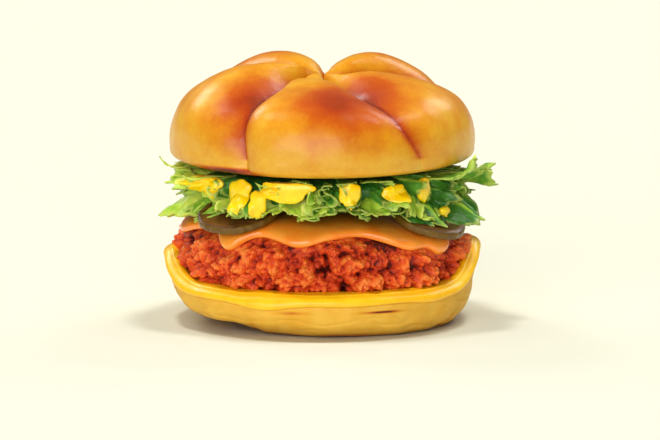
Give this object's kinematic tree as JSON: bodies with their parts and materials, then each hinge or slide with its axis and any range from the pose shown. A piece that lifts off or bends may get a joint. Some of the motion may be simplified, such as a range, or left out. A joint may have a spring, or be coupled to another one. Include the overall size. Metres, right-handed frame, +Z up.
{
  "type": "chicken burger",
  "caption": "Crispy chicken burger in a lobed kaiser roll, with lettuce and dressing, pickle slices, orange sauce, a craggy fried fillet and yellow sauce, for table and food scenes.",
  "frame": {"origin": "middle of the flat base of the lower bun", "axes": "+Z up through the layers, -Y towards the front shown in the picture, +X to the right seen from the front"},
  "size_m": [0.1225, 0.1112, 0.0958],
  "materials": {
    "crown_crust": "golden glazed bread crust",
    "lettuce_green": "fresh frilly leaf, pale at the ribs",
    "pickle_skin": "wet dark olive brown",
    "orange_sauce": "glossy sauce",
    "fried_crumb": "craggy fried crumb with a little oil",
    "yellow_sauce": "satin sauce",
    "heel_bread": "soft golden bread crust"
  },
  "bodies": {
    "root": {"crown_bun": "crown_crust", "lettuce": "lettuce_green", "pickle_slice_1": "pickle_skin", "pickle_slice_2": "pickle_skin", "orange_sauce": "orange_sauce", "chicken_fillet": "fried_crumb", "yellow_sauce": "yellow_sauce", "heel_bun": "heel_bread"}
  },
  "joints": []
}
